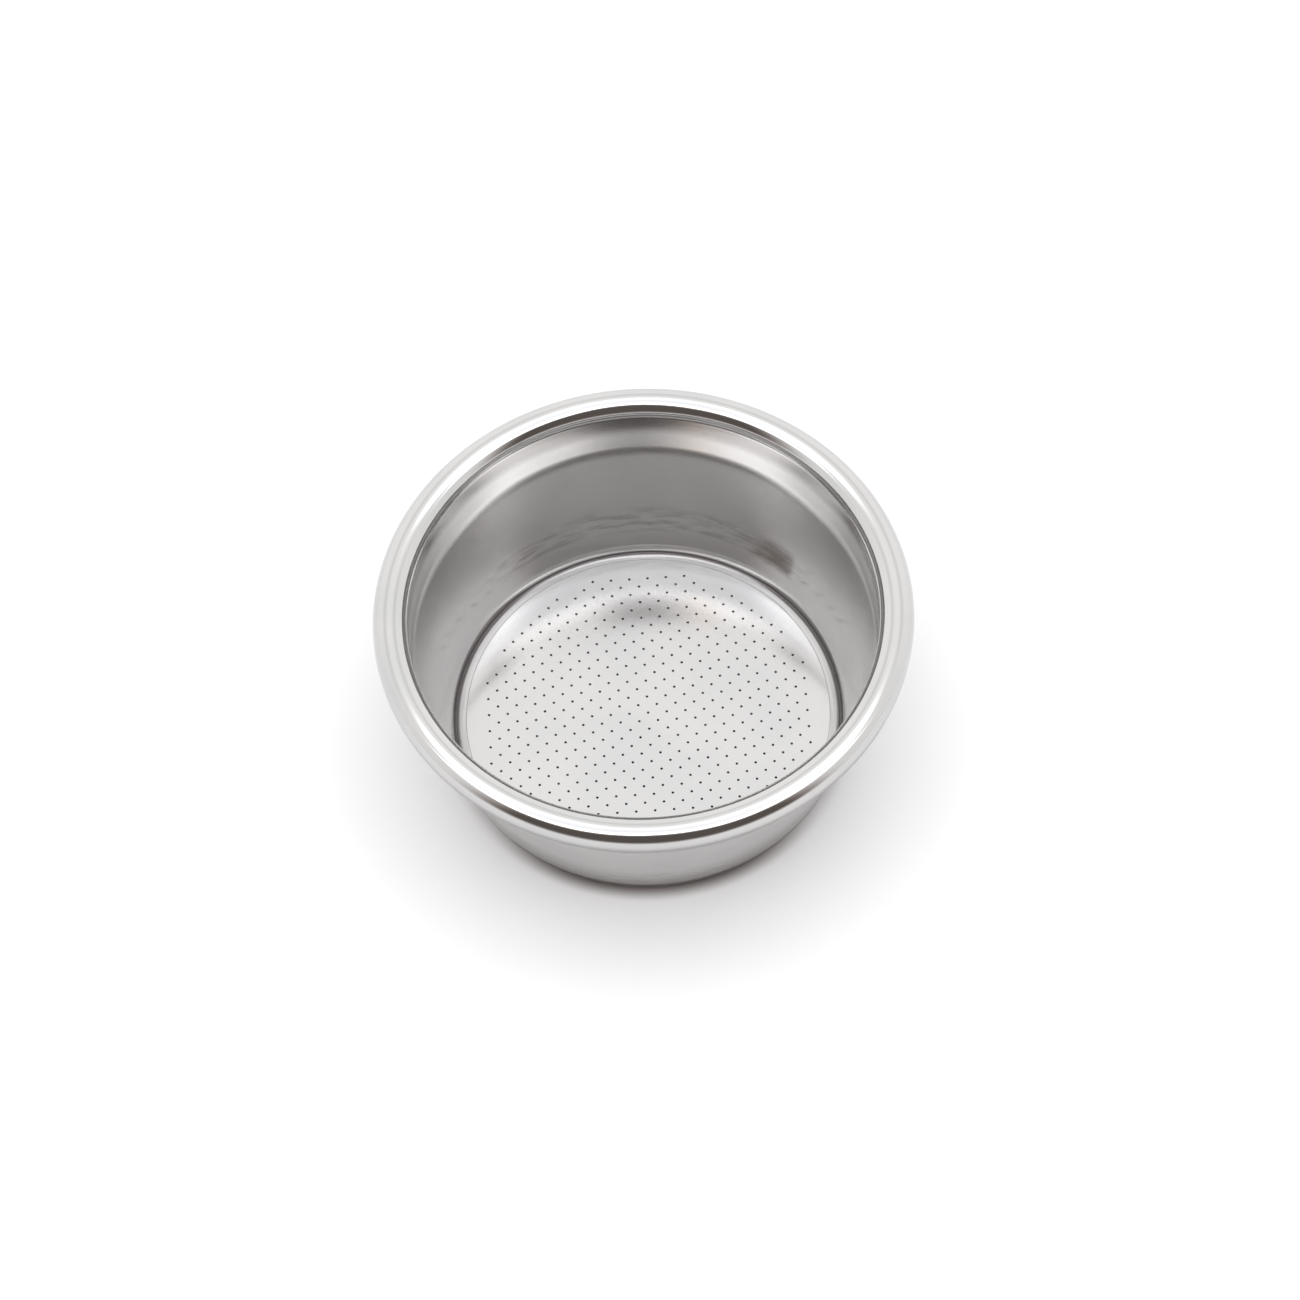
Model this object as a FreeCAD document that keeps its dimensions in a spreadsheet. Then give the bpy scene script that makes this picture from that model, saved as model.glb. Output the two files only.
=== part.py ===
import FreeCAD, Part
import math
import os
import Sketcher

# Espresso filter basket, pressed from one disc of stainless sheet: a tapered cup
# with an upright collar, a rolled rim and a flat floor full of fine punched holes.
# The floor stands proud of a narrow groove, whose outside is the foot.
# Millimetres, +Z up along the basket's axis, origin at the centre of the foot.

doc = FreeCAD.newDocument("FilterBasket")

# Driving sizes. The first thirteen set the section of the sheet and the last three
# the punched floor.
SIZES = [
    ("sheet_thickness", 0.35),
    ("floor_height", 0.75),
    ("lip_radius", 0.85),
    ("groove_radius", 0.12),
    ("groove_flat", 0.06),
    ("corner_radius", 0.15),
    ("corner_ring_radius", 21.70),
    ("collar_foot_height", 16.75),
    ("collar_bend_radius", 8.0),
    ("rim_roll_radius", 1.88),
    ("rim_ring_radius", 27.60),
    ("rim_height", 22.04),
    ("rim_end_angle", 130.0),
    ("hole_diameter", 0.30),
    ("hole_pitch", 1.50),
    ("holes_across_radius", 12.55),
]

sheet = doc.addObject("Spreadsheet::Sheet", "Sizes")
sheet.Label = "Sizes"
for row, (alias, value) in enumerate(SIZES, start=1):
    sheet.set("A%d" % row, alias)
    sheet.set("B%d" % row, "%.6g" % value)
    sheet.setAlias("B%d" % row, alias)
doc.recompute()


def size(alias):
    return float(sheet.get(alias))


thickness = size("sheet_thickness")
floor_height = size("floor_height")
lip_radius = size("lip_radius")
groove_radius = size("groove_radius")
groove_flat = size("groove_flat")
corner_radius = size("corner_radius")
corner_ring = size("corner_ring_radius")
collar_foot = size("collar_foot_height")
bend_radius = size("collar_bend_radius")
roll_radius = size("rim_roll_radius")
rim_ring = size("rim_ring_radius")
rim_height = size("rim_height")
end_angle = -math.radians(size("rim_end_angle"))
hole_diameter = size("hole_diameter")
hole_pitch = size("hole_pitch")
holes_across = size("holes_across_radius")

# The section, worked out so that the sketch starts in its solved position.
# Arc centres: lip of the floor, inner side of the groove, outer corner, rolled rim.
groove_centre = (corner_ring - groove_flat, thickness + groove_radius)
corner_centre = (corner_ring, thickness + corner_radius)
rim_centre = (rim_ring, rim_height)
lip_rise = floor_height - lip_radius - groove_centre[1]
lip_reach = math.sqrt((lip_radius + groove_radius) ** 2 - lip_rise ** 2)
lip_centre = (groove_centre[0] - lip_reach, floor_height - lip_radius)
lip_angle = math.atan2(-lip_rise, lip_reach)

# The collar stands straight up into the rolled rim. The tapered wall under it touches
# the corner arc and the bend arc, which both lie inside it.
collar_ring = rim_ring - roll_radius
bend_centre = (collar_ring - bend_radius, collar_foot)
span_across = bend_centre[0] - corner_centre[0]
span_up = bend_centre[1] - corner_centre[1]
span = math.hypot(span_across, span_up)
wall_angle = math.atan2(span_up, span_across) - math.acos((corner_radius - bend_radius) / span)


def on_arc(centre, radius, angle):
    return (centre[0] + radius * math.cos(angle), centre[1] + radius * math.sin(angle))


body = doc.addObject("PartDesign::Body", "Basket")
body.Label = "filter_basket"


def origin_plane(role):
    for feature in body.Origin.OriginFeatures:
        if feature.Role == role:
            return feature
    raise RuntimeError("no origin plane " + role)


section = body.newObject("Sketcher::SketchObject", "SheetSection")
section.AttachmentSupport = [(origin_plane("XZ_Plane"), "")]
section.MapMode = "FlatFace"
doc.recompute()


def add_line(start, end):
    return section.addGeometry(
        Part.LineSegment(FreeCAD.Vector(*start, 0), FreeCAD.Vector(*end, 0)), False
    )


def add_arc(centre, radius, first, last):
    circle = Part.Circle(FreeCAD.Vector(*centre, 0), FreeCAD.Vector(0, 0, 1), radius)
    return section.addGeometry(Part.ArcOfCircle(circle, first, last), False)


def add_face(floor, lip, groove, corner, bend, roll):
    """One face of the sheet, from the axis outwards: the ids of its nine pieces."""
    bottom = groove_centre[1] - groove
    down = -math.pi / 2
    return {
        "floor": add_line((0, floor), (lip_centre[0], floor)),
        "lip": add_arc(lip_centre, lip, lip_angle, math.pi / 2),
        "groove": add_arc(groove_centre, groove, -math.pi + lip_angle, down),
        "foot": add_line((groove_centre[0], bottom), (corner_centre[0], bottom)),
        "corner": add_arc(corner_centre, corner, down, wall_angle),
        "wall": add_line(
            on_arc(corner_centre, corner, wall_angle),
            on_arc(bend_centre, bend, wall_angle),
        ),
        "bend": add_arc(bend_centre, bend, wall_angle, 0),
        "collar": add_line(on_arc(bend_centre, bend, 0), on_arc(rim_centre, roll, math.pi)),
        "roll": add_arc(rim_centre, roll, end_angle, math.pi),
    }


START = 1
END = 2
CENTRE = 3
ORIGIN = -1

inner = add_face(
    floor_height,
    lip_radius,
    groove_radius,
    corner_radius,
    bend_radius,
    roll_radius,
)
outer = add_face(
    floor_height - thickness,
    lip_radius - thickness,
    groove_radius + thickness,
    corner_radius + thickness,
    bend_radius + thickness,
    roll_radius - thickness,
)
axis_edge = add_line((0, floor_height - thickness), (0, floor_height))
rim_edge = add_line(
    on_arc(rim_centre, roll_radius - thickness, end_angle),
    on_arc(rim_centre, roll_radius, end_angle),
)


def constrain(kind, *values):
    return section.addConstraint(Sketcher.Constraint(kind, *values))


def join_smoothly(first, first_end, second, second_end):
    constrain("Tangent", first, first_end, second, second_end)


for face in (inner, outer):
    join_smoothly(face["floor"], END, face["lip"], END)
    join_smoothly(face["lip"], START, face["groove"], START)
    join_smoothly(face["groove"], END, face["foot"], START)
    join_smoothly(face["foot"], END, face["corner"], START)
    join_smoothly(face["corner"], END, face["wall"], START)
    join_smoothly(face["wall"], END, face["bend"], START)
    join_smoothly(face["bend"], END, face["collar"], START)
    join_smoothly(face["collar"], END, face["roll"], END)
    constrain("Horizontal", face["floor"])
    constrain("Horizontal", face["foot"])
    constrain("Vertical", face["collar"])

# The outer face of the sheet follows the inner one at the sheet's thickness.
for name in ("lip", "groove", "corner", "bend", "roll"):
    constrain("Coincident", outer[name], CENTRE, inner[name], CENTRE)
constrain("Parallel", outer["wall"], inner["wall"])
constrain("Coincident", axis_edge, START, outer["floor"], START)
constrain("Coincident", axis_edge, END, inner["floor"], START)
constrain("Vertical", axis_edge)
constrain("PointOnObject", axis_edge, START, -2)
constrain("Coincident", rim_edge, START, outer["roll"], START)
constrain("Coincident", rim_edge, END, inner["roll"], START)
constrain("PointOnObject", inner["roll"], CENTRE, rim_edge)


def drive(kind, where, value, name, expression):
    index = constrain(kind, *where, value)
    section.renameConstraint(index, name)
    section.setExpression("Constraints." + name, expression)


drive("DistanceY", (axis_edge, START, axis_edge, END), thickness,
      "thickness", "Sizes.sheet_thickness")
drive("DistanceY", (ORIGIN, START, inner["floor"], START), floor_height,
      "floor_height", "Sizes.floor_height")
drive("DistanceY", (ORIGIN, START, inner["foot"], START), thickness,
      "foot_height", "Sizes.sheet_thickness")
drive("Radius", (inner["lip"],), lip_radius, "lip_radius", "Sizes.lip_radius")
drive("Radius", (inner["groove"],), groove_radius, "groove_radius", "Sizes.groove_radius")
drive("DistanceX", (inner["foot"], START, inner["foot"], END), groove_flat,
      "groove_flat", "Sizes.groove_flat")
drive("Radius", (inner["corner"],), corner_radius, "corner_radius", "Sizes.corner_radius")
drive("DistanceX", (ORIGIN, START, inner["corner"], CENTRE), corner_ring,
      "corner_ring_radius", "Sizes.corner_ring_radius")
drive("Radius", (inner["bend"],), bend_radius, "bend_radius", "Sizes.collar_bend_radius")
drive("DistanceY", (ORIGIN, START, inner["bend"], CENTRE), collar_foot,
      "collar_foot", "Sizes.collar_foot_height")
drive("Radius", (inner["roll"],), roll_radius, "rim_roll_radius", "Sizes.rim_roll_radius")
drive("DistanceX", (ORIGIN, START, inner["roll"], CENTRE), rim_ring,
      "rim_ring_radius", "Sizes.rim_ring_radius")
drive("DistanceY", (ORIGIN, START, inner["roll"], CENTRE), rim_height,
      "rim_height", "Sizes.rim_height")
drive("Angle", (rim_edge,), end_angle, "rim_end_angle", "-1 * Sizes.rim_end_angle * 1 deg")
doc.recompute()

cup = body.newObject("PartDesign::Revolution", "Cup")
cup.Profile = section
cup.ReferenceAxis = (section, ["V_Axis"])
cup.Angle = 360.0
doc.recompute()
cup_volume = cup.Shape.Volume


def punch(name, positions):
    """Punch the round holes at these grid steps from the centre of the floor."""
    holes = body.newObject("Sketcher::SketchObject", name + "Sketch")
    holes.AttachmentSupport = [(origin_plane("XY_Plane"), "")]
    holes.MapMode = "FlatFace"
    doc.recompute()
    rules = []
    names = []
    radius = hole_diameter / 2
    for across, along in positions:
        centre = FreeCAD.Vector(across * hole_pitch, along * hole_pitch, 0)
        index = holes.addGeometry(Part.Circle(centre, FreeCAD.Vector(0, 0, 1), radius), False)
        if index == 0:
            rules.append(Sketcher.Constraint("Radius", 0, radius))
            names.append(("radius", "Sizes.hole_diameter / 2"))
        else:
            rules.append(Sketcher.Constraint("Equal", 0, index))
            names.append(None)
        for kind, step in (("DistanceX", across), ("DistanceY", along)):
            if step == 0:
                axis = -2 if kind == "DistanceX" else -1
                rules.append(Sketcher.Constraint("PointOnObject", index, CENTRE, axis))
                names.append(None)
            else:
                rules.append(
                    Sketcher.Constraint(kind, ORIGIN, START, index, CENTRE, step * hole_pitch)
                )
                label = "%s_%d" % (kind[-1].lower(), index)
                names.append((label, "%d * Sizes.hole_pitch" % step))
    holes.addConstraint(rules)
    for index, rule in enumerate(names):
        if rule is not None:
            holes.renameConstraint(index, rule[0])
            holes.setExpression("Constraints." + rule[0], rule[1])
    doc.recompute()
    pocket = body.newObject("PartDesign::Pocket", name)
    pocket.Profile = holes
    pocket.Type = "ThroughAll"
    pocket.Reversed = True
    doc.recompute()
    return pocket


# The holes stand on one square grid that fills a circle. A quarter of them is
# punched beside the centre hole and then repeated four times about the axis.
reach = int(holes_across)
quarter = [
    (across, along)
    for across in range(1, reach + 1)
    for along in range(0, reach + 1)
    if across * across + along * along <= holes_across * holes_across
]
punch("CentreHole", [(0, 0)])
quarter_holes = punch("QuarterHoles", quarter)
all_holes = body.newObject("PartDesign::PolarPattern", "AllHoles")
all_holes.Originals = [quarter_holes]
all_holes.Axis = (section, ["V_Axis"])
all_holes.Angle = 360.0
all_holes.Occurrences = 4
body.Tip = all_holes
doc.recompute()

hole_count = 4 * len(quarter) + 1
hole_volume = math.pi * (hole_diameter / 2) ** 2 * thickness
missing = abs(cup_volume - body.Shape.Volume - hole_count * hole_volume)
print("holes", hole_count)
print("wall lean in degrees", round(-math.degrees(wall_angle), 2))
print("volume before", round(cup_volume, 3), "after", round(body.Shape.Volume, 3))
if missing > 0.5 * hole_volume:
    raise RuntimeError("the punched holes don't take away their own volume")

for item in doc.Objects:
    if "Invalid" in item.State or "Error" in item.State:
        raise RuntimeError("failed: " + item.Name)
if body.Shape.isNull() or not body.Shape.isValid():
    raise RuntimeError("the basket's shape is not valid")
if len(body.Shape.Solids) != 1:
    raise RuntimeError("the basket is not one solid")

os.makedirs("parts", exist_ok=True)
body.Shape.exportStep("parts/" + body.Label + ".step")
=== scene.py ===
"""Espresso filter basket: the pressed cup with its rolled rim and punched floor,
dressed as softly polished stainless steel and set on a white studio table."""

import math

import bpy
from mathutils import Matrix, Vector, geometry


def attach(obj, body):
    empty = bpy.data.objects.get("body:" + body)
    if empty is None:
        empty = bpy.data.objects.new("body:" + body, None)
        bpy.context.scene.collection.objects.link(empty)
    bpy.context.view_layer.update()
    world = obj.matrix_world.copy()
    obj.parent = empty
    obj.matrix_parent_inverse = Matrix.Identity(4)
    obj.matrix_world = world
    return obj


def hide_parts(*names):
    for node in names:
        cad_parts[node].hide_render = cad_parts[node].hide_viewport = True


MM = 0.001

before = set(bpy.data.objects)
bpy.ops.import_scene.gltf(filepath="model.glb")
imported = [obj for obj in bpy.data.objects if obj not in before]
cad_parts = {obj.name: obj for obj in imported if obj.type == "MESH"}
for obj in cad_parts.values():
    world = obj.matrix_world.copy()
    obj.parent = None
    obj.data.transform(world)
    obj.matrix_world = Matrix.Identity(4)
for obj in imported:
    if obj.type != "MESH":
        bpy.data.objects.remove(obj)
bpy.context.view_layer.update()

# The section in millimetres, with the same values as the part's own.
THICKNESS = 0.35
FLOOR = 0.75
LIP = 0.85
GROOVE = 0.12
GROOVE_FLAT = 0.06
CORNER = 0.15
CORNER_RING = 21.70
COLLAR_FOOT = 16.75
BEND = 8.0
ROLL = 1.88
RIM_RING = 27.60
RIM_HEIGHT = 22.04
HOLE_DIAMETER = 0.30
PITCH = 1.50
HOLES_ACROSS = 12.55
RIM_END = math.radians(-130)

# The floor's upper edge falls off gently from DOME_FROM and then turns down sharply.
DOME_FROM = 20.60
DOME = 4.0
DOME_TURN = math.radians(15)
EDGE = 0.14

# Painted shade, with some grime, darkens the groove outwards from this radius and
# below this height. Away from the back it climbs a little higher.
GROOVE_SHADE_FROM = 21.35
GROOVE_SHADE_TOP = 0.9
GROOVE_SHADE_CLIMB = 0.7

# The arc of the wall that is stained, and the start of its darkest patch, as angles
# about the axis.
STAIN_MIDDLE = math.radians(131)
STAIN_HALF = math.radians(52)
PATCH_FROM = math.radians(84)

# The turn of the camera's side about the axis, from -y towards +x, and that direction.
VIEW_TURN = math.radians(43.9)
NEAR_SIDE = (math.sin(VIEW_TURN), -math.cos(VIEW_TURN), 0)
FAR_SIDE = (-math.sin(VIEW_TURN), math.cos(VIEW_TURN), 0)

AROUND = 288
HOLE_SIDES = 16

# Material slots of the shell.
CUP = 0
FLOOR_PLATE = 1

groove_centre = (CORNER_RING - GROOVE_FLAT, THICKNESS + GROOVE)
corner_centre = (CORNER_RING, THICKNESS + CORNER)
rim_centre = (RIM_RING, RIM_HEIGHT)
lip_rise = FLOOR - LIP - groove_centre[1]
lip_reach = math.sqrt((LIP + GROOVE) ** 2 - lip_rise ** 2)
lip_centre = (groove_centre[0] - lip_reach, FLOOR - LIP)
lip_angle = math.atan2(-lip_rise, lip_reach)
bend_centre = (RIM_RING - ROLL - BEND, COLLAR_FOOT)
span = (bend_centre[0] - corner_centre[0], bend_centre[1] - corner_centre[1])
wall_angle = math.atan2(span[1], span[0]) - math.acos((CORNER - BEND) / math.hypot(*span))


def on_circle(centre, radius, angle):
    return (centre[0] + radius * math.cos(angle), centre[1] + radius * math.sin(angle))


def arc(centre, radius, first, last, steps):
    return [
        on_circle(centre, radius, first + (last - first) * k / steps)
        for k in range(steps + 1)
    ]


def straight(first, last, steps):
    return [
        (first[0] + (last[0] - first[0]) * k / steps, first[1] + (last[1] - first[1]) * k / steps)
        for k in range(steps + 1)
    ]


def floor_edge():
    """The inner face from the domed edge of the floor down to the foot of the wall."""
    up = math.pi / 2
    line = arc((DOME_FROM, FLOOR - DOME), DOME, up, up - DOME_TURN, 10)
    edge_centre = (
        line[-1][0] - EDGE * math.sin(DOME_TURN),
        line[-1][1] - EDGE * math.cos(DOME_TURN),
    )
    line += arc(edge_centre, EDGE, up - DOME_TURN, 0, 6)[1:]
    groove_foot = (line[-1][0], groove_centre[1])
    line += straight(line[-1], groove_foot, 2)[1:]
    crack = (corner_centre[0] + CORNER - groove_foot[0]) / 2
    line += arc((groove_foot[0] + crack, groove_foot[1]), crack, -math.pi, 0, 6)[1:-1]
    line.append(on_circle(corner_centre, CORNER, wall_angle))
    return line


def floor_underside():
    """The outer face over the same stretch, a sheet's thickness away from the real lip."""
    up = math.pi / 2
    line = arc(lip_centre, LIP - THICKNESS, up, lip_angle, 12)
    line += arc(groove_centre, GROOVE + THICKNESS, -math.pi + lip_angle, -up, 8)[1:]
    line += arc(corner_centre, CORNER + THICKNESS, -up, wall_angle, 8)
    return line


def face_line(start, offset, roll_steps):
    """One face of the sheet from the floor's edge to the end of the rolled rim."""
    bend = arc(bend_centre, BEND + offset, wall_angle, 0, 12)
    roll = arc(rim_centre, ROLL - offset, math.pi, RIM_END, roll_steps)
    wall = straight(start[-1], bend[0], 10)[1:-1]
    collar = straight(bend[-1], roll[0], 4)[1:-1]
    return start + wall + bend + collar + roll


inner = face_line(floor_edge(), 0, 72)
outer = face_line(floor_underside(), THICKNESS, 48)


def ring(r, z):
    turns = [2 * math.pi * k / AROUND for k in range(AROUND)]
    return [(r * MM * math.cos(turn), r * MM * math.sin(turn), z * MM) for turn in turns]


class Shell:
    """The basket's mesh while it is being put together."""

    def __init__(self):
        self.verts = []
        self.faces = []
        self.smooth = []
        self.slots = []

    def point(self, x, y, z):
        self.verts.append((x, y, z))
        return len(self.verts) - 1

    def face(self, corners, smooth, slot):
        self.faces.append(tuple(corners))
        self.smooth.append(smooth)
        self.slots.append(slot)

    def to_object(self, name):
        mesh = bpy.data.meshes.new(name)
        mesh.from_pydata(self.verts, [], self.faces)
        mesh.update()
        mesh.polygons.foreach_set("use_smooth", self.smooth)
        mesh.polygons.foreach_set("material_index", self.slots)
        mesh.validate()
        obj = bpy.data.objects.new(name, mesh)
        bpy.context.scene.collection.objects.link(obj)
        return obj


def add_sheet(shell):
    """The revolved sheet: along the inner face, round the rim's end and back outside."""
    starts = []
    for r, z in inner + outer[::-1]:
        starts.append(len(shell.verts))
        shell.verts.extend(ring(r, z))
    for a, b in zip(starts, starts[1:]):
        for k in range(AROUND):
            n = (k + 1) % AROUND
            shell.face((a + k, a + n, b + n, b + k), True, CUP)
    return starts[0], starts[-1]


def hole_grid():
    reach = int(HOLES_ACROSS)
    return [
        (i, j)
        for i in range(-reach, reach + 1)
        for j in range(-reach, reach + 1)
        if i * i + j * j <= HOLES_ACROSS ** 2
    ]


def inside_hole(x, y):
    i, j = round(x / PITCH), round(y / PITCH)
    near = math.hypot(x - i * PITCH, y - j * PITCH) < HOLE_DIAMETER / 2 * 0.98
    return near and i * i + j * j <= HOLES_ACROSS ** 2


def floor_outline(shell, top_edge, grid):
    """Points and edges of the flat floor: its outer circle and then every hole."""
    flat = [(shell.verts[top_edge + k][0] / MM, shell.verts[top_edge + k][1] / MM)
            for k in range(AROUND)]
    edges = [(k, (k + 1) % AROUND) for k in range(AROUND)]
    for i, j in grid:
        first = len(flat)
        for k in range(HOLE_SIDES):
            turn = 2 * math.pi * (k + 0.5) / HOLE_SIDES
            flat.append(on_circle((i * PITCH, j * PITCH), HOLE_DIAMETER / 2, turn))
            edges.append((first + k, first + (k + 1) % HOLE_SIDES))
    return flat, edges


def add_floor(shell, top_edge, under_edge):
    """The flat floor between the holes, one face up and one down, and the holes' walls."""
    grid = hole_grid()
    flat, edges = floor_outline(shell, top_edge, grid)
    result = geometry.delaunay_2d_cdt([Vector(p) for p in flat], edges, [], 0, 1e-7)
    triangles, origin = result[2], result[3]
    place = {new: old[0] for new, old in enumerate(origin) if old}
    top = [top_edge + k for k in range(AROUND)]
    under = [under_edge + k for k in range(AROUND)]
    for x, y in flat[AROUND:]:
        top.append(shell.point(x * MM, y * MM, FLOOR * MM))
        under.append(shell.point(x * MM, y * MM, (FLOOR - THICKNESS) * MM))
    for triangle in triangles:
        corners = [place[t] for t in triangle]
        cx = sum(flat[c][0] for c in corners) / 3
        cy = sum(flat[c][1] for c in corners) / 3
        if min(corners) >= AROUND and inside_hole(cx, cy):
            continue
        shell.face((top[c] for c in corners), False, FLOOR_PLATE)
        shell.face((under[c] for c in reversed(corners)), False, FLOOR_PLATE)
    for hole in range(len(grid)):
        first = AROUND + hole * HOLE_SIDES
        for k in range(HOLE_SIDES):
            a, b = first + k, first + (k + 1) % HOLE_SIDES
            shell.face((top[a], under[a], under[b], top[b]), False, FLOOR_PLATE)


def build_basket():
    shell = Shell()
    top_edge, under_edge = add_sheet(shell)
    add_floor(shell, top_edge, under_edge)
    return shell.to_object("basket_shell")


class Nodes:
    """A short way to write a node tree."""

    def __init__(self, tree):
        self.tree = tree
        tree.nodes.clear()

    def add(self, kind, **values):
        node = self.tree.nodes.new(kind)
        for name, value in values.items():
            setattr(node, name, value)
        return node

    def link(self, source, target):
        self.tree.links.new(source, target)

    def fill(self, value, socket):
        """Set a socket to a number, or link it to another socket."""
        if isinstance(value, (int, float)):
            socket.default_value = value
        else:
            self.link(value, socket)

    def math(self, operation, a, b=None, clamp=False):
        node = self.add("ShaderNodeMath", operation=operation, use_clamp=clamp)
        self.fill(a, node.inputs[0])
        if b is not None:
            self.fill(b, node.inputs[1])
        return node.outputs[0]

    def plus(self, a, b):
        return self.math("ADD", a, b)

    def minus(self, a, b):
        return self.math("SUBTRACT", a, b)

    def times(self, first, *others):
        for other in others:
            first = self.math("MULTIPLY", first, other)
        return first

    def distance(self, value, target):
        return self.math("ABSOLUTE", self.minus(value, target))

    def dot(self, vector, direction):
        node = self.add("ShaderNodeVectorMath", operation="DOT_PRODUCT")
        self.link(vector, node.inputs[0])
        node.inputs[1].default_value = direction
        return node.outputs["Value"]

    def axes(self, vector):
        node = self.add("ShaderNodeSeparateXYZ")
        self.link(vector, node.inputs[0])
        return node.outputs

    def vector(self, *parts):
        node = self.add("ShaderNodeCombineXYZ")
        for part, socket in zip(parts, node.inputs):
            self.link(part, socket)
        return node.outputs[0]

    def ramp(self, value, low, high, start=0.0, end=1.0):
        node = self.add("ShaderNodeMapRange", interpolation_type="SMOOTHSTEP")
        self.link(value, node.inputs["Value"])
        node.inputs["From Min"].default_value = low
        node.inputs["From Max"].default_value = high
        node.inputs["To Min"].default_value = start
        node.inputs["To Max"].default_value = end
        return node.outputs["Result"]

    def fall(self, value, low, high):
        return self.ramp(value, low, high, 1.0, 0.0)

    def window(self, value, low, full, still_full, high):
        """1 from full to still_full, and 0 below low and above high."""
        return self.times(self.ramp(value, low, full), self.fall(value, still_full, high))

    def mix(self, factor, first, second):
        """Blend two colours, each one three numbers or a socket."""
        node = self.add("ShaderNodeMix", data_type="RGBA")
        self.link(factor, node.inputs["Factor"])
        for colour, socket in ((first, node.inputs[6]), (second, node.inputs[7])):
            if isinstance(colour, tuple):
                socket.default_value = (*colour, 1)
            else:
                self.link(colour, socket)
        return node.outputs[2]

    def noise(self, vector, scale, detail=2.0, rough=0.5):
        node = self.add("ShaderNodeTexNoise")
        self.link(vector, node.inputs["Vector"])
        node.inputs["Scale"].default_value = scale
        node.inputs["Detail"].default_value = detail
        node.inputs["Roughness"].default_value = rough
        return node.outputs["Fac"]

    def bump(self, height, strength, distance):
        node = self.add("ShaderNodeBump")
        node.inputs["Strength"].default_value = strength
        node.inputs["Distance"].default_value = distance
        self.link(height, node.inputs["Height"])
        return node


class SteelPlace:
    """Where a point of the steel is: position, radius, angle about the axis and height."""

    def __init__(self, n):
        self.position = n.add("ShaderNodeTexCoord").outputs["Object"]
        x, y, self.z = n.axes(self.position)
        self.radius = n.math("SQRT", n.plus(n.times(x, x), n.times(y, y)))
        self.angle = n.math("ARCTAN2", y, x)


def stained(n, place, colour):
    """Streaky stains low on the wall at the back, darkest at the arc's right end."""
    streaks = n.add("ShaderNodeCombineXYZ")
    n.link(n.times(place.angle, 6.0), streaks.inputs[0])
    n.link(n.times(place.z, 1500.0), streaks.inputs[1])
    blot = n.ramp(n.noise(streaks.outputs[0], 1.0, 4.0, 0.6), 0.42, 0.64)
    patch = n.window(place.angle, PATCH_FROM, PATCH_FROM + 0.05,
                     PATCH_FROM + 0.12, PATCH_FROM + 0.36)
    amount = n.math("ADD", n.times(blot, 0.45), n.times(patch, 0.85), clamp=True)
    level = n.window(place.z, 3.2 * MM, 4.6 * MM, 6.0 * MM, 8.2 * MM)
    reach = n.fall(n.distance(place.angle, STAIN_MIDDLE), STAIN_HALF * 0.8, STAIN_HALF)
    return n.mix(n.times(level, reach, amount), colour, (0.25, 0.225, 0.21))


def groove_shade_and_grime(n, place, colour):
    """Painted shade, with some grime, in the groove round the floor."""
    backness = n.math("DIVIDE", n.dot(place.position, FAR_SIDE), place.radius)
    climb = n.ramp(backness, 0.6, 0.85, GROOVE_SHADE_CLIMB * MM, 0.0)
    # Painted shade and grime: the colour goes dark in the groove's recess.
    shaded = n.times(
        n.ramp(place.radius, GROOVE_SHADE_FROM * MM, (GROOVE_SHADE_FROM + 0.15) * MM),
        n.fall(n.minus(place.z, climb), (GROOVE_SHADE_TOP - 0.4) * MM, GROOVE_SHADE_TOP * MM),
    )
    return n.mix(shaded, colour, (0.30, 0.28, 0.28))


def shade_under_rim(n, place, colour):
    """Painted shade: the colour is darker in a ring under the rolled rim."""
    under = n.window(place.z, 18.6 * MM, 20.8 * MM, 21.6 * MM, 22.6 * MM)
    # Painted shade: the base colour is darkened under the rim.
    return n.mix(under, colour, (0.35, 0.34, 0.335))


def floor_grain(n, place):
    """Straight rolled grain across the floor."""
    turned = n.add("ShaderNodeVectorRotate", rotation_type="Z_AXIS")
    turned.inputs["Angle"].default_value = math.radians(12)
    n.link(place.position, turned.inputs["Vector"])
    stretched = n.add("ShaderNodeVectorMath", operation="MULTIPLY")
    stretched.inputs[1].default_value = (9000, 500, 500)
    n.link(turned.outputs[0], stretched.inputs[0])
    return n.noise(stretched.outputs[0], 1.0, 2.0)


def drawn_rings(n, place):
    """Fine rings that drawing left on the cup."""
    marks = n.vector(n.times(place.radius, 9000.0), n.times(place.z, 9000.0),
                     n.times(place.angle, 4.0))
    return n.noise(marks, 1.0, 2.0)


def wall_film(n, place):
    """A thin film that dulls the wall, most of all near the floor."""
    film = n.ramp(place.z, 4.0 * MM, 9.0 * MM, 0.40, 0.12)
    return n.times(film, n.fall(place.z, 21.5 * MM, 22.5 * MM))


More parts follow.
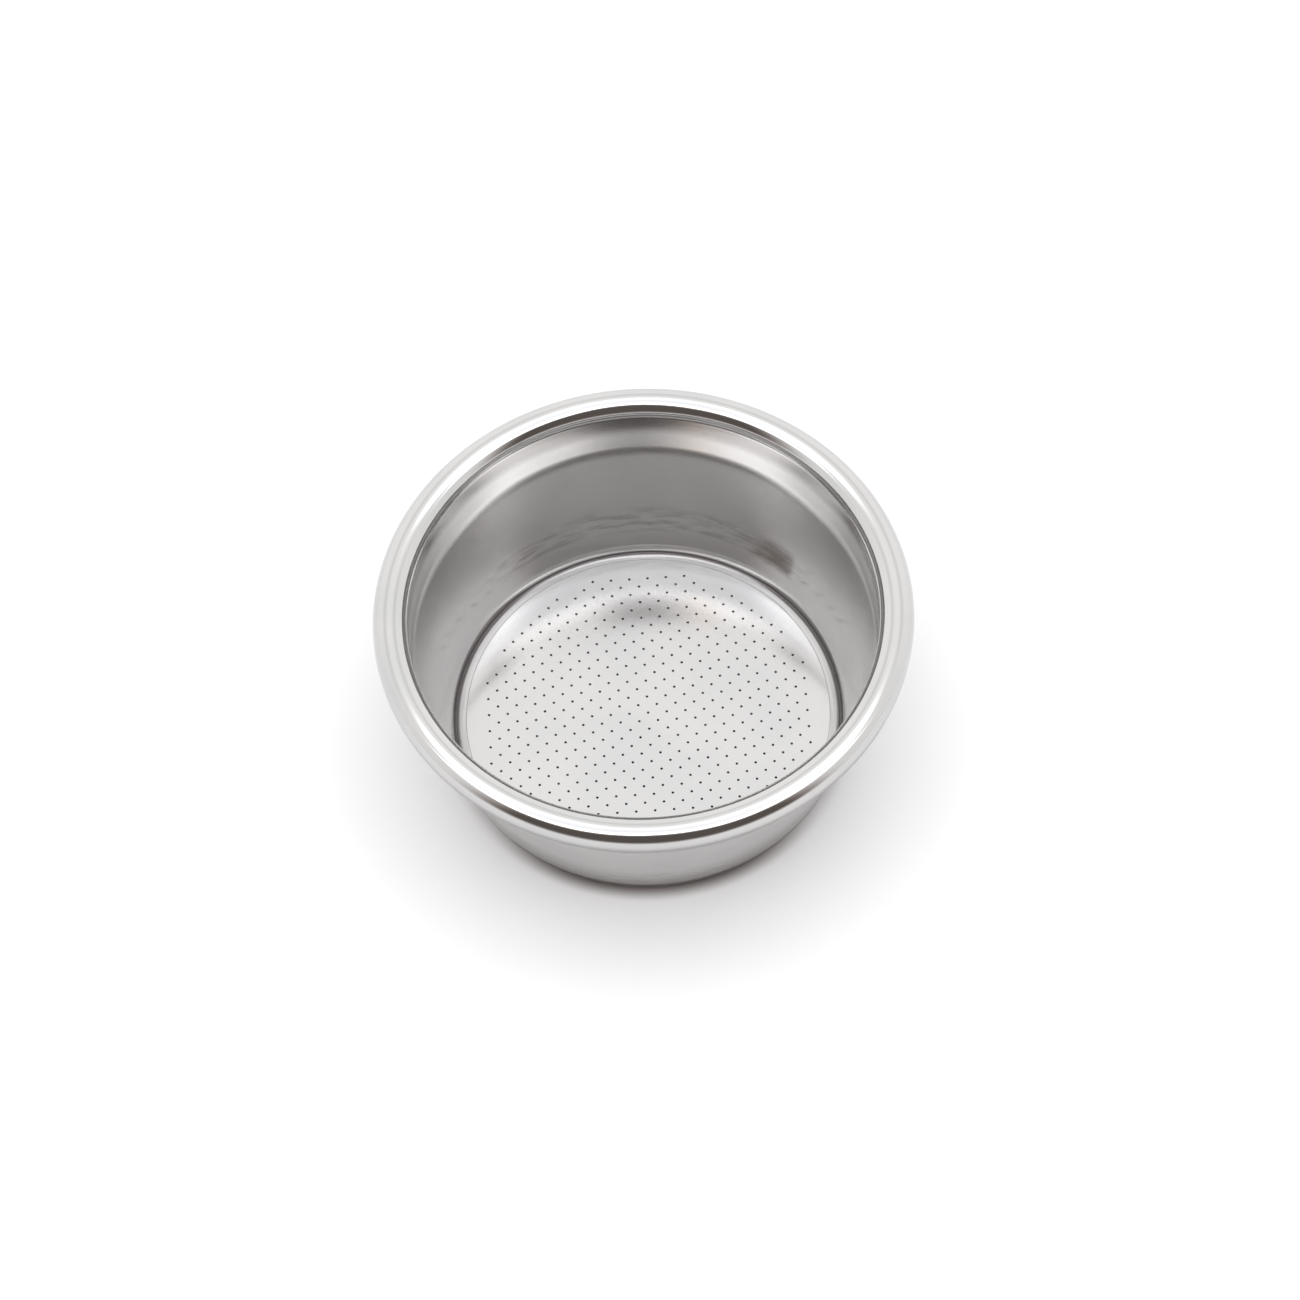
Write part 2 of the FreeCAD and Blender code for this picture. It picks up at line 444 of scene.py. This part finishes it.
def steel(name, floor):
    material = bpy.data.materials.new(name)
    material.use_nodes = True
    n = Nodes(material.node_tree)
    bsdf = n.add("ShaderNodeBsdfPrincipled")
    n.link(bsdf.outputs[0], n.add("ShaderNodeOutputMaterial").inputs[0])
    bsdf.inputs["Metallic"].default_value = 1.0
    bsdf.inputs["Specular IOR Level"].default_value = 0.2
    place = SteelPlace(n)

    # A broad, faint clouding of the polish.
    cloud = n.noise(place.position, 90.0, 3.0)
    colour = n.mix(n.ramp(cloud, 0.35, 0.65), (0.650, 0.642, 0.636), (0.620, 0.614, 0.611))
    colour = stained(n, place, colour)
    # Painted shade, with some grime, in the groove round the floor.
    colour = groove_shade_and_grime(n, place, colour)
    # Painted shade in a ring under the rolled rim.
    colour = shade_under_rim(n, place, colour)
    n.link(colour, bsdf.inputs["Base Color"])

    if floor:
        lines = floor_grain(n, place)
        polish = n.ramp(place.radius, 17.0 * MM, 19.4 * MM, 0.11, 0.07)
    else:
        lines = drawn_rings(n, place)
        wall = n.window(place.z, 5.0 * MM, 12.0 * MM, 19.5 * MM, 21.0 * MM)
        polish = n.plus(n.times(wall, 0.13), 0.06)
        n.link(n.minus(1.0, wall_film(n, place)), bsdf.inputs["Metallic"])
    rough = n.plus(n.times(lines, 0.04), n.times(cloud, 0.04))
    n.link(n.plus(rough, polish), bsdf.inputs["Roughness"])

    # The sheet isn't perfectly true: a slow waviness bends the reflections a little.
    fine = n.bump(lines, 0.015 if floor else 0.04, 2e-5)
    wave = n.bump(n.noise(place.position, 160.0, 1.0), 0.2, 1e-5 if floor else 3e-5)
    n.link(fine.outputs[0], wave.inputs["Normal"])
    n.link(wave.outputs[0], bsdf.inputs["Normal"])
    return material


def white_table():
    material = bpy.data.materials.new("white_table")
    material.use_nodes = True
    n = Nodes(material.node_tree)
    diffuse = n.add("ShaderNodeBsdfDiffuse")
    n.link(diffuse.outputs[0], n.add("ShaderNodeOutputMaterial").inputs[0])
    seen = n.add("ShaderNodeLightPath").outputs["Is Camera Ray"]
    paper = n.mix(seen, (0.86, 0.86, 0.86), (0.99, 0.99, 0.99))
    # Painted shadow: right under the foot's edge hardly any light gets in, least of all on the near
    # side.
    position = n.add("ShaderNodeTexCoord").outputs["Object"]
    length = n.add("ShaderNodeVectorMath", operation="LENGTH")
    n.link(position, length.inputs[0])
    away = length.outputs["Value"]
    near_side_share = n.ramp(n.math("DIVIDE", n.dot(position, NEAR_SIDE), away), 0.55, 1.0, 0.25, 1.0)
    painted_contact_shadow = n.times(near_side_share, n.fall(away, 21.9 * MM, 24.0 * MM))
    # The painted shadow's dark colour is mixed into the table here.
    n.link(n.mix(painted_contact_shadow, paper, (0.24, 0.21, 0.20)), diffuse.inputs["Color"])
    return material


def studio():
    """A white tent all round with softboxes and a brighter roof. The side that the
    picture is taken from is left open and dark. Angles are in degrees."""
    world = bpy.data.worlds.new("studio")
    world.use_nodes = True
    n = Nodes(world.node_tree)
    back = n.add("ShaderNodeBackground")
    n.link(back.outputs[0], n.add("ShaderNodeOutputWorld").inputs[0])
    turn = n.add("ShaderNodeVectorRotate", rotation_type="Z_AXIS")
    turn.inputs["Angle"].default_value = -VIEW_TURN
    n.link(n.add("ShaderNodeTexCoord").outputs["Generated"], turn.inputs["Vector"])
    x, y, z = n.axes(turn.outputs[0])
    height = n.times(n.math("ARCSINE", z), 180 / math.pi)
    # Bearing from the near side, positive towards the right.
    bearing = n.times(n.math("ARCTAN2", x, n.times(y, -1.0)), 180 / math.pi)
    spread = n.math("ABSOLUTE", bearing)
    seen = n.add("ShaderNodeLightPath").outputs["Is Camera Ray"]
    unseen = n.minus(1.0, seen)

    # The opening's top edge drops towards its two ends.
    top = n.minus(59.4, n.times(bearing, bearing, 0.0020))
    top = n.minus(top, n.ramp(spread, 2, 34, 0.0, 4.5))
    above = n.minus(height, top)
    band = n.times(n.ramp(height, -3, 14), n.fall(above, -6, 5))
    opening = n.times(n.window(bearing, -74, -46, 44, 70), band)

    tent = n.minus(1.18, n.times(n.fall(spread, 60, 150), 0.22))
    # The roof is a little brighter, from lower down on the near side than at the back.
    roof = n.ramp(n.minus(height, n.ramp(spread, 80, 150, 0.0, 8.0)), 58, 64)
    tent = n.plus(tent, n.times(roof, 0.55))
    # Two softboxes stand high at the back, one on each side, over a dimmer stretch of wall.
    foot = n.minus(height, n.ramp(spread, 100, 150, 0.0, 7.0))
    boxes = n.times(n.ramp(foot, 52, 58), n.fall(height, 70, 76), n.window(spread, 82, 98, 160, 172))
    tent = n.plus(tent, n.times(boxes, 0.9))
    dim = n.times(n.window(height, 34, 44, 49, 56), n.ramp(spread, 100, 135))
    tent = n.minus(tent, n.times(dim, 0.2))
    # A long softbox lies along the opening's top edge.
    strip = n.times(n.window(above, -1, 4, 11, 18), n.fall(spread, 65, 100))
    tent = n.plus(tent, n.times(strip, 2.5))
    level = n.minus(tent, n.times(opening, n.minus(tent, 0.13)))
    n.link(n.plus(n.times(level, unseen), seen), back.inputs["Strength"])

    # The dark room behind the opening is a little warm, with a warm spot left of the
    # middle, and the roof is cooler.
    colour = n.mix(n.times(opening, unseen), (1.0, 1.0, 1.0), (1.0, 0.86, 0.80))
    spot = n.times(n.fall(n.distance(bearing, -28.0), 5, 14), n.fall(n.distance(height, 55.0), 3, 8))
    colour = n.mix(spot, colour, (1.0, 0.90, 0.82))
    colour = n.mix(n.times(roof, unseen), colour, (0.955, 0.97, 1.0))
    n.link(colour, back.inputs["Color"])
    return world


def add_camera(scene):
    camera = bpy.data.objects.new("camera", bpy.data.cameras.new("camera"))
    camera.data.lens = 110.85
    camera.data.sensor_width = 36.0
    camera.data.clip_start = 0.01
    camera.location = (0.160415, -0.166696, 0.391620)
    camera.rotation_euler = tuple(math.radians(a) for a in (31.48364, 1.43700, 41.41819))
    scene.collection.objects.link(camera)
    scene.camera = camera


basket = build_basket()
basket.data.materials.append(steel("steel_cup", False))
basket.data.materials.append(steel("steel_floor", True))
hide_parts("filter_basket")
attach(basket, "root")

bpy.ops.mesh.primitive_plane_add(size=6.0, location=(0, 0, -0.00001))
table = bpy.context.object
table.name = "table"
table.data.materials.append(white_table())

bpy.context.scene.world = studio()
add_camera(bpy.context.scene)
bpy.context.scene.view_settings.view_transform = "Standard"
